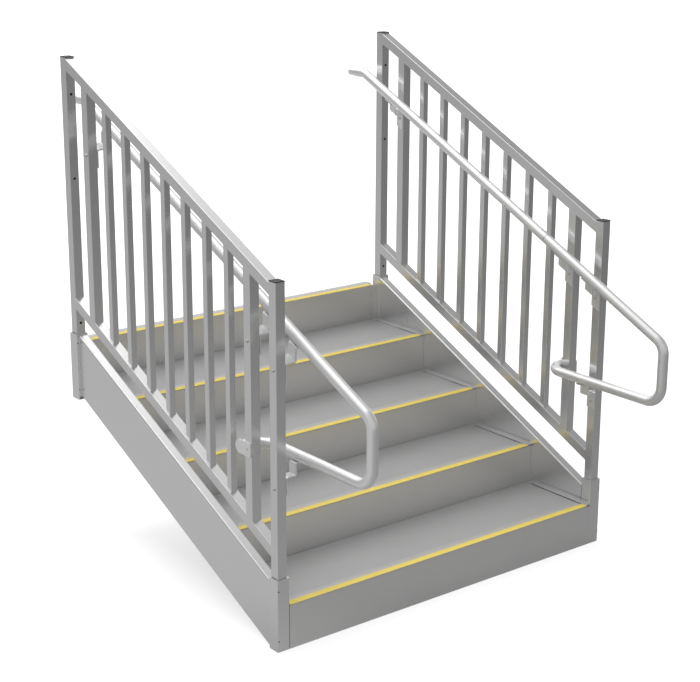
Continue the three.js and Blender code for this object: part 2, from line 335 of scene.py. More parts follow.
# %% [markdown]
# Two soft lamps hang one behind the other, above the far end of the stair. The wide one is dim and
# the narrow one is brighter, so top faces fade gently towards the foot. A third one on the left
# gives the pipes and the round corners their light line. The room is white to the camera, and to
# the metal it is grey, with a bright band low down behind the stair and a lighter wall in front.

# %% Hang the lamps
room_fill, room_mirrored, room_behind, room_front = 0.66, 0.385, 1.05, 0.6
band_start, band_full = 0.45, 0.85
band_top, band_gone = 0.3, 0.55
wall_start, wall_full = -0.2, -0.6
stage_middle = Vector((0, 0, 0.7))
over_head = Vector((0, 0.51, 0.86)).normalized()
on_left = Vector((-0.5, 0.3, 0.81)).normalized()
lamp_distance, lamp_step = 20, 0.1
# Name, direction, half of the angle that it fills in degrees, radiance
LAMPS = (
    ("wide_lamp", over_head, 37.5, 0.42),
    ("narrow_lamp", over_head, 28, 1.0),
    ("left_lamp", on_left, 24, 0.4),
)


def room_world():
    world = bpy.data.worlds.new("room")
    graph = emptied(world)
    seen, mirrored = light_paths(graph)
    direction = graph.node("ShaderNodeTexCoord", out="Generated")
    height = graph.parts(direction).also("Z")
    depth = graph.vector_maths("DOT_PRODUCT", direction, backwards)
    band = graph.ease(depth, band_start, band_full, 0, 1)
    band = band * graph.ease(height, band_top, band_gone, 1, 0)
    front = graph.ease(depth, wall_start, wall_full, 0, 1)
    reflected = room_mirrored + band * (room_behind - room_mirrored)
    reflected = reflected + front * (room_front - room_mirrored)
    strength = seen + (1 - seen) * (room_fill + mirrored * (reflected - room_fill))
    light = graph.node("ShaderNodeBackground", {"Color": grey(1), "Strength": strength})
    graph.node("ShaderNodeOutputWorld", {"Surface": light})
    return world


def soft_lamp(name, direction, distance, half_angle, radiance):
    """A round lamp that fills an angle as seen from the stair. Returns its power in watts."""
    radius = distance * math.tan(half_angle)
    data = bpy.data.lights.new(name, "AREA")
    data.shape = "DISK"
    data.size = 2 * radius
    data.energy = radiance * math.pi * math.pi * radius ** 2
    lamp = new_object(name, data)
    lamp.location = stage_middle + direction * distance
    lamp.rotation_mode = "QUATERNION"
    lamp.rotation_quaternion = (-direction).to_track_quat("-Z", "Y")
    lamp.visible_camera = False
    return data.energy


bpy.context.scene.world = room_world()
for number, (name, direction, degrees, radiance) in enumerate(LAMPS):
    distance = lamp_distance + number * lamp_step
    power = soft_lamp(name, direction, distance, math.radians(degrees), radiance)
    print(name, round(power), "W")

# %% [markdown]
# Extruded aluminium is a satin metal. The die leaves fine straight lines along each length, and
# storage leaves faint clouds that are a little rougher. Each bar carries a "grain" attribute that
# runs along it, so one finish follows posts, sloping rails and the bent pipe alike.

# %% Metal finishes
line_noise = {"scale": 1, "detail": 3, "roughness": 0.5}
cloud_noise = {"scale": 4.5, "detail": 5}
scuff_noise = {"scale": 70, "detail": 6, "roughness": 0.7}
line_stretch, sheet_stretch = (700, 700, 3), (3, 700, 700)
line_rough, cloud_rough, scuff_rough = 0.04, 0.08, 0.03
smoothest = 0.07
cloud_share, scuff_share = 0.6, 0.2
shade_spread = 0.05
scratch_depth = 0.1 * mm


def surface(material, graph, inputs):
    made = graph.node("ShaderNodeBsdfPrincipled", inputs)
    graph.node("ShaderNodeOutputMaterial", {"Surface": made})
    return material


def metal(name, shade, roughness, sheet=False, warmth=0.0, line_depth=0.012, metallic=1):
    """Satin aluminium: drawn lines, clouds and a few fine scuffs. Sheet has its lines along X."""
    material = bpy.data.materials.new(name)
    graph = emptied(material)
    place = drawn = graph.object_place()
    if not sheet:
        drawn = graph.node("ShaderNodeAttribute", None, {"attribute_name": "grain"}, "Vector")
    lines = graph.noise(drawn, **line_noise, stretch_by=sheet_stretch if sheet else line_stretch)
    clouds, scuffs = graph.noise(place, **cloud_noise), graph.noise(place, **scuff_noise)
    mixed = clouds * cloud_share + lines * (1 - cloud_share)
    dark, light = (grey(shade * (1 + spread), warmth) for spread in (-shade_spread, shade_spread))
    rough = roughness - smoothest + clouds * cloud_rough
    rough = rough + lines * line_rough + scuffs * scuff_rough
    height = lines * (1 - scuff_share) + scuffs * scuff_share
    return surface(material, graph, {
        "Base Color": graph.blend(mixed, dark, light), "Metallic": metallic, "Roughness": rough,
        "Normal": graph.bump(line_depth, scratch_depth, height)})


guard_metal = metal("guard_aluminium", 0.75, 0.22)
frame_metal = metal("frame_aluminium", 0.79, 0.25)
pipe_metal = metal("pipe_aluminium", 0.9, 0.4, line_depth=0.006)
sheet_metal = metal("sheet_aluminium", 0.78, 0.32, sheet=True, warmth=0.008)
tread_metal = metal("tread_aluminium", 0.55, 0.5, sheet=True, metallic=0.55)
print("metals:", [m.name for m in bpy.data.materials if m.name.endswith("aluminium")])

# %% [markdown]
# The step edges are yellow and gritty, the caps are moulded black plastic with a fine leather
# grain, and the fasteners are plated steel. In each of them the colour follows one noise, and the
# gloss and the relief follow another.

# %% Plastic and steel finishes
deep_yellow, pale_yellow = (0.89, 0.69, 0.12, 1), (0.98, 0.82, 0.19, 1)
spot_noise = {"scale": 260, "detail": 5}
gloss_spread = 0.16


def grained(name, fine, coarse, colours, roughness, spread, strength, depth, **more):
    """A finish with a fine noise for its gloss and relief and a coarse one for its colour."""
    material = bpy.data.materials.new(name)
    graph = emptied(material)
    place = graph.object_place()
    grain, spots = graph.noise(place, **fine), graph.noise(place, **coarse)
    return surface(material, graph, {
        "Base Color": graph.blend(spots, *colours), "Roughness": roughness + grain * spread,
        "Normal": graph.bump(strength, depth, grain), **more})


def plated_steel(name, shade, roughness):
    colours = grey(shade * 0.8), grey(shade * 1.15, 0.03)
    least = roughness - gloss_spread / 2
    return grained(name, spot_noise, spot_noise, colours, least, gloss_spread,
                   strength=0.15, depth=0.1 * mm, Metallic=1)


yellow = grained(
    "edge_yellow", fine={"scale": 900, "detail": 3},
    coarse={"scale": 9, "detail": 5, "stretch_by": (1, 6, 6)}, colours=(deep_yellow, pale_yellow),
    roughness=0.5, spread=0.25, strength=0.5, depth=0.4 * mm,
    **{"Coat Weight": 0.3, "Coat Roughness": 0.2})
black = grained(
    "cap_black", fine={"scale": 1200, "detail": 4}, coarse={"scale": 60, "detail": 5},
    colours=(grey(0.012), grey(0.035)), roughness=0.42, spread=0.2, strength=0.35, depth=0.2 * mm)
bolt_steel = plated_steel("bolt_steel", 0.72, 0.25)
# Near-black steel for the spigot and the lock screws, also used to paint the shade inside the
# tapped holes.
dark_steel = plated_steel("dark_steel", 0.02, 0.45)
print("materials:", len(bpy.data.materials))

# %% [markdown]
# A bar is a section run between two ends. The section's round corners have four facets and a
# support point beside each arc, which keeps the flats truly flat when the mesh is shaded smooth.
# The ends are placed by a function, so the same bar can be square-cut, plumb-cut or cut to the
# slope. Every finished mesh is handed over to the frame in one way.

# %% Bars
corner_steps = 4
support = 0.4 * mm
sharp_angle = math.radians(35)
flat_angle = math.radians(20)


@contextlib.contextmanager
def opened(mesh):
    """A mesh opened for editing. What is done to the shell is kept when it closes."""
    shell = bmesh.new()
    shell.from_mesh(mesh)
    yield shell
    shell.to_mesh(mesh)
    shell.free()


def place_piece(name, mesh, material, body, slot, *nodes, sharp=sharp_angle):
    """Finishes a mesh and hands it over with its body and the nodes it replaces. The slot is not
    used. It is shaded smooth except where it turns by more than an angle."""
    with opened(mesh) as shell:
        bmesh.ops.recalc_face_normals(shell, faces=shell.faces)
    mesh.shade_smooth()
    mesh.set_sharp_from_angle(angle=sharp)
    mesh.materials.clear()
    mesh.materials.append(material)
    piece = new_object(name, mesh)
    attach(piece, body)
    if nodes:
        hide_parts(*nodes)


def mesh_of(name, points, faces, grain=None):
    mesh = bpy.data.meshes.new(name)
    mesh.from_pydata(points, [], faces)
    if grain:
        attribute = mesh.attributes.new("grain", "FLOAT_VECTOR", "POINT")
        attribute.data.foreach_set("vector", [value for vector in grain for value in vector])
    return mesh


def quads(count, low, high):
    """Faces between two rings of points that start at low and at high."""
    return [(low + i, low + (i + 1) % count, high + (i + 1) % count, high + i)
            for i in range(count)]


def loft_faces(count, rings):
    """Faces between neighbouring rings, and one that closes each end."""
    faces = [face for k in range(rings - 1) for face in quads(count, k * count, (k + 1) * count)]
    last = (rings - 1) * count
    return faces + [tuple(range(count)), tuple(range(last, last + count))]


def rounded_section(width, depth, radius):
    """Points round a rectangle with round corners, anticlockwise, in its own plane."""
    points = []
    x, y = width / 2 - radius, depth / 2 - radius
    for corner, (cx, cy) in enumerate(((x, y), (-x, y), (-x, -y), (x, -y))):
        start = corner * math.pi / 2
        end = start + math.pi / 2
        angles = [start + step / corner_steps * math.pi / 2 for step in range(corner_steps + 1)]
        arc = [Vector((cx + radius * math.cos(a), cy + radius * math.sin(a))) for a in angles]
        tangent_in = Vector((-math.sin(start), math.cos(start)))
        tangent_out = Vector((-math.sin(end), math.cos(end)))
        points += [arc[0] - tangent_in * support, *arc, arc[-1] + tangent_out * support]
    return points


def tube_rings(size, wall, radius, inner_radius=None):
    inner = radius - wall / 3 if inner_radius is None else inner_radius
    bore = size - 2 * wall
    return rounded_section(size, size, radius), rounded_section(bore, bore, inner)


def bar_mesh(name, outer, inner, low_end, high_end):
    """A tube between two ends. Its two rings have the same number of points."""
    points = [end(u, v) for ring in (outer, inner) for end in (low_end, high_end) for u, v in ring]
    along = [place.z if abs(place.z) > abs(place.y) else place.y for place in points]
    section = [spot for ring in (outer, inner) for spot in 2 * ring]
    grain = [(u, v, run) for (u, v), run in zip(section, along)]
    count = len(outer)
    faces = []
    for low, high in ((0, 1), (2, 3), (0, 2), (1, 3)):
        faces += quads(count, low * count, high * count)
    return mesh_of(name, points, faces, grain)


def upright_end(x, y, line):
    """An end of an upright at x and y that is cut along a sloping line."""
    return lambda u, v: Vector((x + u, y + v, line(y + v)))


def plumb_end(x, y, height):
    """An end of a sloping bar that is cut plumb."""
    return lambda u, v: Vector((x + u, y, height + v * stretch))


def level_end(x, y, z):
    return lambda u, v: Vector((x + u, y + v, z))


print("a square tube's ring has", len(rounded_section(post_size, post_size, post_corner)), "points")

# %% [markdown]
# Each guard is a welded frame of 38 mm square tube. Two posts carry a top and a bottom rail on the
# slope, and a strong picket stands near each end. All of them are bars with different ends. A
# welded end reaches into its neighbour as far as the round corner, as a weld does when it is
# dressed flat.

# %% Posts, rails and strong pickets
post_rings = tube_rings(post_size, post_wall, post_corner)
picket_low = lambda y: bottom_line(y) + rail_half
picket_high = lambda y: top_line(y) - rail_half
weld_low = lambda y: picket_low(y) - post_corner
weld_high = lambda y: picket_high(y) + post_corner


def guard_bars(side_name, side):
    x = side * guard_x
    made = []
    for place, y in (("front", front_y), ("rear", rear_y)):
        node = f"post_{place}_{side_name}"
        made.append((node, *[level_end(x, y, corner.z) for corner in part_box(node)]))
    for level, line in (("top", top_line), ("bottom", bottom_line)):
        places = (rail_front - post_corner, rail_rear + post_corner)
        made.append((f"rail_{level}_{side_name}", *[plumb_end(x, y, line(y)) for y in places]))
    for place in ("low", "high"):
        node = f"picket_strong_{place}_{side_name}"
        _, y = middle_of(node)
        made.append((node, upright_end(x, y, weld_low), upright_end(x, y, weld_high)))
    for node, *ends in made:
        mesh = bar_mesh(node, *post_rings, *ends)
        place_piece(node + "_tube", mesh, guard_metal, "guard_" + side_name, "guard", node)
    return len(made)


for side_name, side in SIDES:
    print("bars on the", side_name, "guard:", guard_bars(side_name, side))

# %% [markdown]
# Seven slim pickets stand at one even spacing. That is a rule, so Geometry Nodes make them: one
# section is run up as a straight bar, its ends are sheared to the slope, and copies are set out
# along a line that climbs with it. The result is turned into a plain mesh for each guard.

# %% Slim pickets by Geometry Nodes
slim_corner = 2 * mm
slim_names = [f"picket_{number}" for number in range(1, 8)]


def sockets_of(kind, *names):
    return dict.fromkeys(names, kind)


def new_modifier_tree(name, sockets):
    """The Graph of an empty geometry tree, and the wires of its named inputs."""
    tree = bpy.data.node_groups.new(name, "GeometryNodeTree")
    tree.interface.new_socket("Geometry", in_out="OUTPUT", socket_type="NodeSocketGeometry")
    for title, kind in {"Geometry": "Geometry", **sockets, "Material": "Material"}.items():
        tree.interface.new_socket(title, in_out="INPUT", socket_type="NodeSocket" + kind)
    graph = Graph(tree)
    source = graph.node("NodeGroupInput").socket.node
    return graph, {s.name: Wire(graph, s) for s in source.outputs if s.name}


def close_tree(graph, wires, geometry):
    """Realize Instances, Set Material and the tree's output."""
    inputs = {"Geometry": graph.node("GeometryNodeRealizeInstances", {0: geometry}),
              "Material": wires["Material"]}
    graph.node("NodeGroupOutput", {0: graph.node("GeometryNodeSetMaterial", inputs)})
    return graph.tree


def swept(graph, path, section):
    """A section run along a path, with its ends closed."""
    inputs = {"Curve": path, "Profile Curve": section, "Fill Caps": True}
    return graph.node("GeometryNodeCurveToMesh", inputs)


def straight_bar(graph, section, end):
    """The base mesh's loop run from the origin to an end."""
    line = graph.node("GeometryNodeCurvePrimitiveLine", {"End": end})
    return swept(graph, line, graph.node("GeometryNodeMeshToCurve", {"Mesh": section}))


def row_of(graph, wires, piece, step):
    """Copies of a piece in a straight row."""
    inputs = {"Count": wires["Count"], "Start Location": wires["First place"], "Offset": step}
    places = graph.node("GeometryNodeMeshLine", inputs)
    return graph.node("GeometryNodeInstanceOnPoints", {"Points": places, "Instance": piece})


def with_grain(graph, geometry, value):
    inputs = {"Geometry": geometry, "Name": "grain", "Value": value}
    settings = {"data_type": "FLOAT_VECTOR", "domain": "POINT"}
    return graph.node("GeometryNodeStoreNamedAttribute", inputs, settings)


def run_tree(name, base, tree, material, values):
    """Runs a tree on a base mesh and returns the result as a plain mesh."""
    carrier = new_object(name, base)
    modifier = carrier.modifiers.new(name, "NODES")
    modifier.node_group = tree
    identifiers = {s.name: s.identifier for s in tree.interface.items_tree if s.in_out == "INPUT"}
    for key, value in {**values, "Material": material}.items():
        modifier[identifiers[key]] = value
    depsgraph = bpy.context.evaluated_depsgraph_get()
    mesh = bpy.data.meshes.new_from_object(carrier.evaluated_get(depsgraph))
    carrier.modifiers.remove(modifier)
    bpy.data.objects.remove(carrier)
    mesh.name = name
    return mesh


def ring_mesh(name, ring):
    """A closed loop of edges that a tree can use as a section."""
    mesh = bpy.data.meshes.new(name)
    edges = [(i, (i + 1) % len(ring)) for i in range(len(ring))]
    mesh.from_pydata([(u, v, 0) for u, v in ring], edges, [])
    return mesh


def picket_row_tree():
    sockets = {"Count": "Int", **sockets_of("Float", "Spacing", "Pitch", "Height"),
               "First place": "Vector"}
    graph, wires = new_modifier_tree("picket_row", sockets)
    bar = straight_bar(graph, wires["Geometry"], graph.vector(Z=wires["Height"]))
    place = graph.node("GeometryNodeInputPosition")
    lift = graph.vector(Z=graph.parts(place).also("Y") * wires["Pitch"])
    sheared = graph.node("GeometryNodeSetPosition", {"Geometry": bar, "Offset": lift})
    step = graph.vector(Y=wires["Spacing"], Z=wires["Spacing"] * wires["Pitch"])
    return close_tree(graph, wires, row_of(graph, wires, with_grain(graph, sheared, place), step))


def slim_pickets(side_name, side, tree):
    nodes = [f"{name}_{side_name}" for name in slim_names]
    ys = [middle_of(node)[1] for node in nodes]
    low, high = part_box(nodes[0])
    size = high.x - low.x
    values = {"Count": len(ys), "Spacing": ys[1] - ys[0], "Pitch": pitch,
              "Height": picket_high(0) - picket_low(0),
              "First place": (side * guard_x, ys[0], picket_low(ys[0]))}
    name = "pickets_" + side_name
    section = ring_mesh(name, rounded_section(size, size, slim_corner))
    mesh = run_tree(name, section, tree, guard_metal, values)
    place_piece(name, mesh, guard_metal, "guard_" + side_name, "guard", *nodes)
    return len(mesh.polygons)


picket_tree = picket_row_tree()
for side_name, side in SIDES:
    print("faces in the", side_name, "picket row:", slim_pickets(side_name, side, picket_tree))

# %% [markdown]
# The posts stand in four larger square sleeves. The bore leaves a small clearance, so a dark line
# shows where the post goes in.

# %% Sleeves
sleeve_corner = 3.5 * mm
sleeve_inner_corner = 2 * mm
socket_clearance = 1.2 * mm


def sleeve(node):
    low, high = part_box(node)
    size = high.x - low.x
    wall = (size - post_size) / 2 - socket_clearance
    rings = tube_rings(size, wall, sleeve_corner, sleeve_inner_corner)
    x, y = middle_of(node)
    mesh = bar_mesh(node, *rings, level_end(x, y, low.z), level_end(x, y, high.z))
    place_piece(node + "_tube", mesh, frame_metal, "flight", "frame", node)


for side_name, _ in SIDES:
    for end in ("front", "rear"):
        sleeve(f"sleeve_{end}_{side_name}")
print("sleeves: 4")

# %% [markdown]
# The handrail is a drawn pipe bent round formers. Geometry Nodes follow the same rule: a line
# through the corners, each corner rounded to its own bend radius, and a circle run along it. The
# tree also stores where each point lies on the section and along the pipe, for the drawn lines.

# %% Bent pipe by Geometry Nodes
pipe_sides = 96
bend_steps = 18
pipe_low, pipe_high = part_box("handrail_upper_right")
loop_low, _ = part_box("handrail_loop_right")
pipe_radius = (pipe_high.x - pipe_low.x) / 2
pipe_x = (pipe_high.x + pipe_low.x) / 2
level_z = pipe_high.z - pipe_radius
head_bend_y = rear_y + 23 * mm
head_pipe_y = rear_y + 82 * mm
splice_y = front_y + 215 * mm
outward_y = front_y + 186 * mm
foot_drop = 126 * mm
loop_front_y = loop_low.y + pipe_radius
loop_low_z = loop_low.z + foot_drop
top_bend, low_bend, outward_bend = 57 * mm, 68 * mm, 80 * mm
splice_gap = 0.8 * mm
weld_gap = mm


def axis_at(side, y):
    """A point on the sloping pipe's axis."""
    return Vector((side * pipe_x, y, level_z - pitch * (head_bend_y - y)))


def held_on(graph, kind, geometry, value):
    """A geometry that keeps a value from this step on, and that value."""
    node = graph.node("GeometryNodeCaptureAttribute").socket.node
    node.capture_items.new(kind, "held")
    graph.link(geometry, node.inputs[0])
    graph.link(value, node.inputs[1])
    return [Wire(graph, node.outputs[k]) for k in (0, 1)]


def pipe_tree():
    sockets = {"Radius": "Float", **sockets_of("Int", "Sides", "Bend steps")}
    graph, wires = new_modifier_tree("bent_pipe", sockets)
    path = graph.node("GeometryNodeMeshToCurve", {"Mesh": wires["Geometry"]})
    bend = graph.node("GeometryNodeInputNamedAttribute", {"Name": "bend"}, {"data_type": "FLOAT"})
    inputs = {"Curve": path, "Radius": bend, "Count": wires["Bend steps"]}
    bent = graph.node("GeometryNodeFilletCurve", inputs, {"mode": "POLY"})
    length = graph.node("GeometryNodeSplineParameter", out="Length")
    bent, run = held_on(graph, "FLOAT", bent, length)
    circle = graph.node("GeometryNodeCurvePrimitiveCircle",
                        {"Resolution": wires["Sides"], "Radius": wires["Radius"]})
    place = graph.node("GeometryNodeInputPosition")
    circle, around = held_on(graph, "VECTOR", circle, place)
    across = graph.parts(around)
    grain = graph.vector(X=across, Y=across.also("Y"), Z=run)
    return close_tree(graph, wires, with_grain(graph, swept(graph, bent, circle), grain))


def pipe(node, body, corners, bends, tree):
    """A length of pipe through some corners, of which the inner ones are bent."""
    name = node + "_pipe"
    path = bpy.data.meshes.new(name)
    path.from_pydata(corners, [(i, i + 1) for i in range(len(corners) - 1)], [])
    path.attributes.new("bend", "FLOAT", "POINT").data.foreach_set("value", [0, *bends, 0])
    values = {"Radius": pipe_radius, "Sides": pipe_sides, "Bend steps": bend_steps}
    mesh = run_tree(name, path, tree, pipe_metal, values)
    place_piece(mesh.name, mesh, pipe_metal, body, "handrail", node)
    return len(mesh.polygons)


def handrail(side_name, side, tree):
    x = side * pipe_x
    body = "guard_" + side_name
    head = axis_at(side, head_bend_y)
    upper = [axis_at(side, splice_y + splice_gap), head, Vector((x, head_pipe_y, head.z))]
    loop = [
        axis_at(side, splice_y - splice_gap),
        axis_at(side, loop_front_y),
        Vector((x, loop_front_y, loop_low_z)),
        Vector((x, outward_y, loop_low_z)),
        Vector((side * (guard_outer + weld_gap), outward_y, loop_low_z)),
    ]
    bends = [top_bend, low_bend, outward_bend]
    return (pipe("handrail_upper_" + side_name, body, upper, [top_bend], tree),
            pipe("handrail_loop_" + side_name, body, loop, bends, tree))


bent_pipe = pipe_tree()
for side_name, side in SIDES:
    print("pipe faces on the", side_name, handrail(side_name, side, bent_pipe))

# %% [markdown]
# A plug closes the level end of the pipe. It is a turned piece: a step down from the pipe, a
# straight length and a rounded nose. The short dark spigot inside the splice is turned too.

# %% Turned pieces
turned_sides = 40
plug_step = 2.5 * mm
plug_inside = 5 * mm
nose_round = 4 * mm
nose_steps = 6
spigot_half, spigot_step = 6 * mm, 1.2 * mm


def turned(name, profile, base, axis, material, body):
    """Spins [reach, radius] pairs about an axis from a base point. Both ends are closed."""
    sideways = axis.orthogonal().normalized()
    beside = axis.cross(sideways)
    points, grain = [], []
    for reach, radius in profile:
        for k in range(turned_sides):
            angle = 2 * math.pi * k / turned_sides
            spoke = sideways * math.cos(angle) + beside * math.sin(angle)
            points.append(base + axis * reach + spoke * radius)
            grain.append((radius * math.cos(angle), radius * math.sin(angle), reach))
    mesh = mesh_of(name, points, loft_faces(turned_sides, len(profile)), grain)
    place_piece(name, mesh, material, body, "handrail")


def plug_profile(length, radius):
    """From inside the pipe out to a rounded nose."""
    points = [(-plug_inside, radius), (0, radius)]
    for step in range(nose_steps + 1):
        angle = math.pi / 2 * step / nose_steps
        points.append((length - nose_round * (1 - math.sin(angle)),
                       radius - nose_round * (1 - math.cos(angle))))
    return points


plug_length = pipe_high.y - head_pipe_y
slope = Vector((0, 1, pitch)).normalized()
spigot = [(end, pipe_radius - spigot_step) for end in (-spigot_half, spigot_half)]
for side_name, side in SIDES:
    body = "guard_" + side_name
    end = Vector((side * pipe_x, head_pipe_y, level_z))
    profile = plug_profile(plug_length, pipe_radius - plug_step)
    turned("plug_" + side_name, profile, end, Vector((0, 1, 0)), pipe_metal, body)
    turned("spigot_" + side_name, spigot, axis_at(side, splice_y), slope, dark_steel, body)
print("plug length:", round(plug_length / mm, 1), "mm")

# %% [markdown]
# Brackets, end plates, treads and cleats are all cut or folded shapes with one outline. A prism
# runs an outline straight and a small bevel breaks its edges, as deburring does. A folded strap
# gets its bend radii in the outline itself.

# %% Prisms with broken edges
bevel_steps = 2
bend_facets = 5


def split_large_faces(shell):
    bmesh.ops.triangulate(shell, faces=[face for face in shell.faces if len(face.verts) > 4])


def prism(name, outline, near, far, material, body, slot, *nodes, bevel=0.4 * mm):
    """Runs an outline from near to far, which place its points, and hands it over."""
    points = [end(*point) for end in (near, far) for point in outline]
    mesh = mesh_of(name, points, loft_faces(len(outline), 2))
    with opened(mesh) as shell:
        bmesh.ops.recalc_face_normals(shell, faces=shell.faces)
        if bevel:
            edges = [edge for edge in shell.edges if edge.calc_face_angle(0) > sharp_angle]
            bmesh.ops.bevel(shell, geom=edges, offset=bevel, segments=bevel_steps,
                            affect="EDGES", profile=0.5)
        split_large_faces(shell)
    place_piece(name, mesh, material, body, slot, *nodes, sharp=flat_angle)


def at_x(x):
    """Places an outline of y and z across the stair."""
    return lambda y, z: Vector((x, y, z))


def at_y(y, side=1):
    """Places an outline of x and z along the stair, on the right or mirrored on the left."""
    return lambda x, z: Vector((side * x, y, z))


def rectangle(first, last, from_z, to_z):
    return [(first, from_z), (last, from_z), (last, to_z), (first, to_z)]


def rounded_outline(corners, radii, facets=bend_facets):
    """An outline whose corners are rounded to the given radii."""
    points = []
    count = len(corners)
    for i, (corner, radius) in enumerate(zip(corners, radii)):
        corner = Vector(corner)
        if not radius:
            points.append(corner)
            continue
        before = (Vector(corners[i - 1]) - corner).normalized()
        after = (Vector(corners[(i + 1) % count]) - corner).normalized()
        half = before.angle(after) / 2
        reach = radius / math.tan(half)
        centre = corner + (before + after).normalized() * (radius / math.sin(half))
        start = corner + before * reach - centre
        end = corner + after * reach - centre
        sweep = start.angle_signed(end)
        for facet in range(facets + 1):
            points.append(centre + Matrix.Rotation(-sweep * facet / facets, 2) @ start)
    return points


print("an edge is broken in", bevel_steps, "steps and a fold has", bend_facets, "facets")

# %% [markdown]
# Four stepped straps carry the pipe on each guard. A foot lies on the upright, a shelf steps out
# from it, and a leg rises to a pad under the pipe. Three of them follow the slope, and the fourth
# is level, under the loop's low run.

# %% Brackets
strap = 4.8 * mm
shelf_drop = 67.5 * mm
leg_offset = 40 * mm
pad_reach = 69.65 * mm
seat = 0.3 * mm
bend_inside = 4 * mm
bend_outside = bend_inside + strap
strap_end = 1.5 * mm
bracket_ys = {"front": front_y}
for place in ("low", "high"):
    _, bracket_ys[place] = middle_of(f"picket_strong_{place}_right")


def bracket_outline():
    """The strap as offsets from the guard and heights from the pipe's axis."""
    corners = [
        (seat, -foot_drop), (seat + strap, -foot_drop),
        (seat + strap, -shelf_drop), (leg_offset + strap, -shelf_drop),
        (leg_offset + strap, -pipe_radius - strap), (pad_reach, -pipe_radius - strap),
        (pad_reach, -pipe_radius), (leg_offset, -pipe_radius),
        (leg_offset, strap - shelf_drop), (seat, strap - shelf_drop),
    ]
    radii = [strap_end, strap_end, bend_inside, bend_outside, bend_inside,
             strap_end, strap_end, bend_outside, bend_inside, bend_outside]
    return rounded_outline(corners, radii)


def bracket(name, side_name, side, y, height, rise, climb, *nodes):
    def end(at):
        return lambda offset, drop: Vector(
            (side * (guard_inner - offset), at, height + drop * rise + climb * (at - y)))

    ends = [end(y + half) for half in (-post_size / 2, post_size / 2)]
    prism(name, bracket_outline(), *ends, pipe_metal, "guard_" + side_name, "handrail", *nodes)


for side_name, side in SIDES:
    for place, y in bracket_ys.items():
        node = f"bracket_{place}_{side_name}"
        height = axis_at(side, y).z
        bracket(node + "_strap", side_name, side, y, height, stretch, pitch, node)
    bracket("bracket_level_" + side_name, side_name, side, front_y, loop_low_z, 1, 0)
print("brackets:", 2 * (len(bracket_ys) + 1))

# %% [markdown]
# The loop's outward end is welded to a small plate on the guard's outer face. One end of the plate
# is round, about the pipe, and the other lies over the strong picket, where a screw holds it.

# %% End plates
plate_thickness = 5 * mm
plate_half = 25.4 * mm
plate_steps = 20
plate_bevel = 0.8 * mm


def end_plate(side_name, side):
    front = bracket_ys["low"] - post_size / 2
    outline = [(front, loop_low_z - plate_half)]
    for step in range(plate_steps + 1):
        angle = math.pi * (step / plate_steps - 0.5)
        outline.append((outward_y + plate_half * math.cos(angle),
                        loop_low_z + plate_half * math.sin(angle)))
    outline.append((front, loop_low_z + plate_half))
    ends = [at_x(side * (guard_outer + seat + depth)) for depth in (0, plate_thickness)]
    prism("end_plate_" + side_name, outline, *ends, pipe_metal, "guard_" + side_name, "handrail",
          bevel=plate_bevel)


for side_name, side in SIDES:
    end_plate(side_name, side)
print("plate:", round(2 * plate_half / mm, 1), "mm high")

# %% [markdown]
# The two stringers are deep box sections on the slope, cut level at the ground.

# %% Stringers
stringer_depth = 246 * mm
stringer_wall = 5 * mm
stringer_corner, stringer_inner_corner = 6 * mm, 5 * mm


def inner_face(side_name):
    """How far the inner faces of the sleeves and stringers lie from the middle."""
    return min(abs(corner.x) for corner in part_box("sleeve_front_" + side_name))


def stringer(side_name, side):
    node = "stringer_" + side_name
    low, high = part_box(node)
    face = inner_face(side_name)
    width = max(abs(low.x), abs(high.x)) - face
    depth = stringer_depth / stretch
    middle_z = high.z - (depth / 2) * stretch - pitch * high.y
    bore_width, bore_depth = width - 2 * stringer_wall, depth - 2 * stringer_wall
    outer = rounded_section(width, depth, stringer_corner)
    inner = rounded_section(bore_width, bore_depth, stringer_inner_corner)
    x = side * (face + width / 2)
    ends = [plumb_end(x, y, middle_z + pitch * y) for y in (low.y, high.y)]
    mesh = bar_mesh(node, outer, inner, *ends)
    with opened(mesh) as shell:
        everything = shell.verts[:] + shell.edges[:] + shell.faces[:]
        cut = bmesh.ops.bisect_plane(shell, geom=everything, plane_co=(0, 0, 0),
                                     plane_no=(0, 0, -1), clear_outer=True)
        rim = [edge for edge in cut["geom_cut"] if isinstance(edge, bmesh.types.BMEdge)]
        bmesh.ops.holes_fill(shell, edges=rim, sides=0)
        split_large_faces(shell)
    place_piece(node + "_box", mesh, frame_metal, "flight", "frame", node)
    return len(mesh.polygons)


for side_name, side in SIDES:
    print("faces in the", side_name, "stringer:", stringer(side_name, side))

# %% [markdown]
# Each cleat is an angle under a tread: one leg on the stringer, one under the tread's ribs.

# %% Cleats
riser_thickness = 4 * mm
cleat_thickness = 5 * mm
cleat_reach = 50 * mm
cleat_drop = 32 * mm
cleat_run_share = 0.55
cleat_facets = 4
cleat_radii = (0, mm, 2 * mm, 4 * mm, 2 * mm, 0)


def cleat(step, side_name, side):
    low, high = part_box(f"tread_{step}")
    face, top = inner_face(side_name), low.z - seat
    reach, leg = face - cleat_reach, face - cleat_thickness
    under, foot = top - cleat_thickness, top - cleat_drop
    corners = [(face, top), (reach, top), (reach, under), (leg, under), (leg, foot), (face, foot)]
    outline = rounded_outline(corners, cleat_radii, cleat_facets)
    sleeve_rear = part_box("sleeve_front_" + side_name)[1].y
    start = max(low.y + riser_thickness, sleeve_rear) + seat
    end = low.y + (high.y - low.y) * cleat_run_share + cleat_thickness
    prism(f"cleat_{step}_{side_name}", outline, at_y(start, side), at_y(end, side),
          frame_metal, "flight", "frame")


for step in range(1, 5):
    for side_name, side in SIDES:
        cleat(step, side_name, side)
print("cleats: 8")

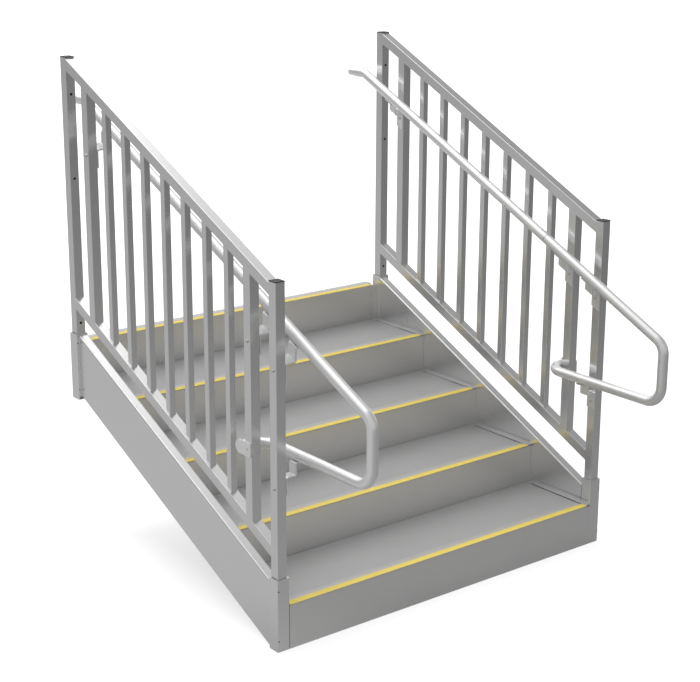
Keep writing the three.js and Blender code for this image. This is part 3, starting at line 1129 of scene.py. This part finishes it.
# %% [markdown]
# A tread is an extruded plank behind a separate nose that carries the yellow strip. Behind the
# strip runs a smooth band, and the rest of the top has fine ribs from side to side that give grip.
# On the right a thin angle on the stringer carries the top on at the same height. A slot parts it
# from the plank and shows as one dark line, and a small bridge closes that slot in front of the
# riser. The ribs repeat evenly, so Geometry Nodes lay them: one rib section, run across the step
# and copied back.

# %% Treads with ribs
strip_depth = 27.5 * mm
strip_thickness = 2 * mm
smooth_band, band_edge = 30 * mm, 0.6 * mm
plate = 5 * mm
rib_pitch = 5.5 * mm
rib_width, rib_height = 2.6 * mm, 1.1 * mm
rib_root = 0.3 * mm
rib_shoulder = 0.6
rear_margin = 4 * mm
under_rib = 5 * mm
plank_short = 2.5 * mm
nose_reach = 4.5 * mm
rear_gap = mm
angle_thickness = 2 * mm
angle_drop = 24 * mm
bridge_length = 24 * mm
tread_bevel = 0.3 * mm


def rib_tree():
    sockets = {"Count": "Int", **sockets_of("Float", "Rib pitch", "Length"),
               "First place": "Vector"}
    graph, wires = new_modifier_tree("tread_ribs", sockets)
    rib = straight_bar(graph, wires["Geometry"], graph.vector(X=wires["Length"]))
    step = graph.vector(Y=wires["Rib pitch"])
    return close_tree(graph, wires, row_of(graph, wires, rib, step))


def rib_ring():
    """The rib's section, a low ridge with broken corners, for a run along X."""
    half, crest = rib_width / 2, rib_width / 4
    flank = [(half, -rib_root), (half, rib_height * rib_shoulder), (crest, rib_height)]
    return flank + [(-u, v) for u, v in reversed(flank)]


def under_outline(at, top, low):
    """The outline of the rib under a plate, from back to front."""
    back = at + under_rib
    return [(back, top - plate), (back, low), (at, low), (at, top - plate)]


def nose_outline(front, top, low):
    """The nose: a rebate for the strip, and a rib behind the riser."""
    back = front + strip_depth + seat
    rebate = top - strip_thickness - seat
    corners = [(front, top - plate), (front, rebate), (back, rebate), (back, top - plate)]
    return corners + under_outline(front + riser_thickness + seat, top, low)


def plank_outline(front, rear, top, low):
    """The plank: a smooth band, then the floor that the ribs stand on."""
    back, band = front + strip_depth + seat, front + strip_depth + smooth_band
    rib_floor = top - rib_height
    corners = [(back, top - plate), (back, top), (band, top), (band + band_edge, rib_floor),
               (rear, rib_floor), (rear, top - plate)]
    return corners + under_outline((front + rear) / 2, top, low)


def angle_outline(left, right, top):
    """A thin angle: a flat leg from left to right and a leg that hangs at the right."""
    leg, under, foot = right - angle_thickness, top - angle_thickness, top - angle_drop
    return [(left, top), (right, top), (right, foot), (leg, foot), (leg, under), (left, under)]


def ribs(name, front, rear, top, left, right, tree):
    first = front + strip_depth + smooth_band + rib_pitch
    count = int((rear - rear_margin - first) / rib_pitch) + 1
    values = {"Count": count, "Rib pitch": rib_pitch, "Length": right - left,
              "First place": (left, first, top - rib_height)}
    mesh = run_tree(name, ring_mesh(name, rib_ring()), tree, tread_metal, values)
    place_piece(name, mesh, tread_metal, "flight", "tread")
    return count


def tread(step, tree):
    node = f"tread_{step}"
    low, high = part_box(node)
    front, rear, top = low.y, high.y - rear_gap, high.z
    plank_right, nose_right = high.x - plank_short, high.x + nose_reach
    angle_left, angle_right = nose_right + seat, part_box(f"riser_{step}")[1].x

    def part(title, outline, near, far, *nodes, bevel=0):
        prism(f"{node}_{title}", outline, near, far, tread_metal, "flight", "tread", *nodes,
              bevel=bevel)

    part("nose", nose_outline(front, top, low.z), at_x(low.x), at_x(nose_right),
         bevel=tread_bevel)
    part("plank", plank_outline(front, rear, top, low.z), at_x(low.x), at_x(plank_right), node,
         bevel=tread_bevel)
    count = ribs(node + "_ribs", front, rear, top, low.x, plank_right, tree)
    part("angle", angle_outline(angle_left, angle_right, top),
         at_y(front + riser_thickness + seat), at_y(rear))
    part("bridge", rectangle(plank_right, angle_left, top, top - angle_thickness),
         at_y(rear - bridge_length), at_y(rear))
    return count


ribbing = rib_tree()
print("ribs on each tread:", [tread(step, ribbing) for step in range(1, 5)])

# %% [markdown]
# The risers are plain folded sheet, and the top one carries its nosing and laps the landing. Their
# CAD shapes are right as they are, so they stay and only get their sheet finish. Behind the top
# yellow edge the nosing is finished like the treads, so a thin strip of tread metal lies there.

# %% Risers
lip_thickness = 0.4 * mm
for step in range(1, 6):
    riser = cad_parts[f"riser_{step}"]
    riser.data.materials.clear()
    riser.data.materials.append(sheet_metal)
nosing_low, nosing_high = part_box("riser_5")
lip_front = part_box("edge_strip_5")[1].y + seat
lip_outline = rectangle(lip_front, nosing_high.y, nosing_high.z, nosing_high.z + lip_thickness)
prism("riser_5_lip", lip_outline, at_x(nosing_low.x), at_x(nosing_high.x),
      tread_metal, "flight", "tread", bevel=0)
print("risers finished in sheet metal: 5, and a lip on the top one")

# %% [markdown]
# Each step edge is a yellow insert with shallow grooves along it. Its outline is a row of ridges.

# %% Yellow edge strips
groove_count = 5
groove_depth = 0.5 * mm
groove_width = 1.4 * mm


def edge_strip(step):
    node = f"edge_strip_{step}"
    low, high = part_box(node)
    groove_z = high.z - groove_depth
    wide, narrow = groove_width / 2, groove_width / 4
    outline = [(low.y, low.z), (high.y, low.z), (high.y, high.z)]
    spacing = (high.y - low.y) / (groove_count + 1)
    for k in range(groove_count, 0, -1):
        middle = low.y + spacing * k
        outline += [(middle + wide, high.z), (middle + narrow, groove_z),
                    (middle - narrow, groove_z), (middle - wide, high.z)]
    outline.append((low.y, high.z))
    prism(node + "_insert", outline, at_x(low.x), at_x(high.x + nose_reach),
          yellow, "flight", "edge_strip", node, bevel=0)


for step in range(1, 6):
    edge_strip(step)
print("strips: 5, with", groove_count, "grooves each")

# %% [markdown]
# Black plastic caps close the posts. The lid has a broken edge and a shallow dish.

# %% Caps
cap_thickness = 3 * mm
cap_corner = 0.9 * mm
cap_edge = 0.5 * mm
edge_share = 2 * cap_edge / post_size
round_in, round_down = 0.4, 0.3
dish_share, dish_rim = 0.8, 0.04
dish_depth = 0.5 * mm


def cap(node, body):
    _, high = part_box(node)
    x, y = middle_of(node)
    outline = rounded_section(post_size, post_size, cap_corner)
    rings = [
        (1, high.z - cap_thickness), (1, high.z - cap_edge),
        (1 - edge_share * round_in, high.z - cap_edge * round_down), (1 - edge_share, high.z),
        (dish_share + dish_rim, high.z), (dish_share, high.z - dish_depth),
    ]
    points = [Vector((x + u * share, y + v * share, z)) for share, z in rings for u, v in outline]
    mesh = mesh_of(node, points, loft_faces(len(outline), len(rings)))
    place_piece(node + "_lid", mesh, black, body, "cap", node, sharp=flat_angle)


for side_name, _ in SIDES:
    for place in ("front", "rear"):
        cap(f"cap_{place}_{side_name}", "guard_" + side_name)
print("caps: 4")

# %% [markdown]
# Every bracket is bolted through its upright, with a hexagon head inside and a nut outside. A low
# screw holds each end plate, two small screws lock each sleeve on its post, and the rear posts
# have tapped holes that face the stair's foot, drawn as thin black discs that paint the shade
# inside the holes. All are one shape with other sizes, a head with a broken edge over a shank, so
# one Geometry Nodes tree sets them out on the points where they go.

# %% Fasteners by Geometry Nodes
SCREW_SIZES = ("Head radius", "Head height", "Broken edge", "Shank radius", "Shank reach")
bolt_drop, level_bolt_drop = 98.6 * mm, 100 * mm
shank_sides = 16
rim_taper = 1.4
nut_gap = 0.1 * mm
lock_margin = 5 * mm
forwards = (math.pi / 2, 0, 0)
tapped_hole_heights = (1747 * mm, 1431 * mm, 869 * mm)
lock_heights = {"front": (40 * mm, 224 * mm), "rear": (603.6 * mm, 791.5 * mm)}


def screw(sides, *sizes):
    """A fastener's sizes, given in millimetres in the order of SCREW_SIZES."""
    return {"Sides": sides, **{title: size * mm for title, size in zip(SCREW_SIZES, sizes)}}


nut = screw(6, 7, 4.8, 0.8, 3.6, 5.9)
bolt_head = screw(6, 6, 4, 0.8, 3.6, 2)
plate_screw = screw(24, 5.5, 0.95, 0.4, 2.4, 0.5)
# Painted shade: a thin black disc on a rear post's face stands for the dark inside of a tapped
# hole.
hole_shade_disc = screw(24, 5, 0.6, 0.2, 2.4, 0.5)
lock_screw = screw(16, 2.5, 0.6, 0.2, 1.2, 0.5)


def lifted(graph, geometry, height):
    inputs = {"Geometry": geometry, "Translation": graph.vector(Z=height)}
    return graph.node("GeometryNodeTransform", inputs)


def disc(graph, sides, radius, depth):
    """A round or many-sided plate that stands on the ground."""
    inputs = {"Vertices": sides, "Radius": radius, "Depth": depth}
    return lifted(graph, graph.node("GeometryNodeMeshCylinder", inputs), depth * 0.5)


def fastener_tree():
    sockets = {"Turn": "Rotation", "Sides": "Int", **sockets_of("Float", *SCREW_SIZES)}
    graph, wires = new_modifier_tree("fasteners", sockets)
    sides, radius, edge = (wires[title] for title in ("Sides", "Head radius", "Broken edge"))
    straight = wires["Head height"] - edge
    cone = {"Vertices": sides, "Radius Top": radius - edge * rim_taper, "Radius Bottom": radius,
            "Depth": edge}
    head = disc(graph, sides, radius, straight)
    rim = lifted(graph, graph.node("GeometryNodeMeshCone", cone), straight)
    shank = disc(graph, shank_sides, wires["Shank radius"], wires["Shank reach"])
    joined = graph.node("GeometryNodeJoinGeometry")
    for part in (head, rim, shank):
        graph.link(part, joined.socket.node.inputs[0])
    copies = {"Points": wires["Geometry"], "Instance": joined, "Rotation": wires["Turn"]}
    return close_tree(graph, wires, graph.node("GeometryNodeInstanceOnPoints", copies))


def fasteners(name, body, slot, places, turn, sizes, material, tree):
    base = bpy.data.meshes.new(name)
    base.from_pydata(places, [], [])
    mesh = run_tree(name, base, tree, material, {**sizes, "Turn": turn})
    place_piece(name, mesh, material, body, slot)
    return len(places)


def guard_fasteners(side_name, side, tree):
    outwards, inwards = (0, side * math.pi / 2, 0), (0, -side * math.pi / 2, 0)
    bolts = [(y, axis_at(side, y).z - bolt_drop) for y in bracket_ys.values()]
    bolts.append((front_y, loop_low_z - level_bolt_drop))
    outside = [(side * (guard_outer + nut_gap), *bolt) for bolt in bolts]
    inside = [(side * (guard_inner - seat - strap), *bolt) for bolt in bolts]
    on_plate = [(side * (guard_outer + seat + plate_thickness), bracket_ys["low"], loop_low_z)]
    on_post = [(side * guard_x, rear_y - post_size / 2, z) for z in tapped_hole_heights]
    rows = (
        ("nuts_", "handrail", outside, outwards, nut, bolt_steel),
        ("bolt_heads_", "handrail", inside, inwards, bolt_head, bolt_steel),
        ("plate_screw_", "handrail", on_plate, outwards, plate_screw, bolt_steel),
        ("inserts_", "guard", on_post, forwards, hole_shade_disc, dark_steel),
    )
    body = "guard_" + side_name
    return sum(fasteners(title + side_name, body, *row, tree) for title, *row in rows)


def sleeve_screws(side_name, side, tree):
    places = []
    for end, y in (("front", front_y), ("rear", rear_y)):
        low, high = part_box(f"sleeve_{end}_{side_name}")
        half = (high.x - low.x) / 2
        x = side * (guard_x + half - lock_margin)
        places += [(x, y - half, z) for z in lock_heights[end]]
    return fasteners("lock_screws_" + side_name, "flight", "frame", places, forwards,
                     lock_screw, dark_steel, tree)


fastening = fastener_tree()
for side_name, side in SIDES:
    print("fasteners on the", side_name, "guard:", guard_fasteners(side_name, side, fastening),
          "on its sleeves:", sleeve_screws(side_name, side, fastening))
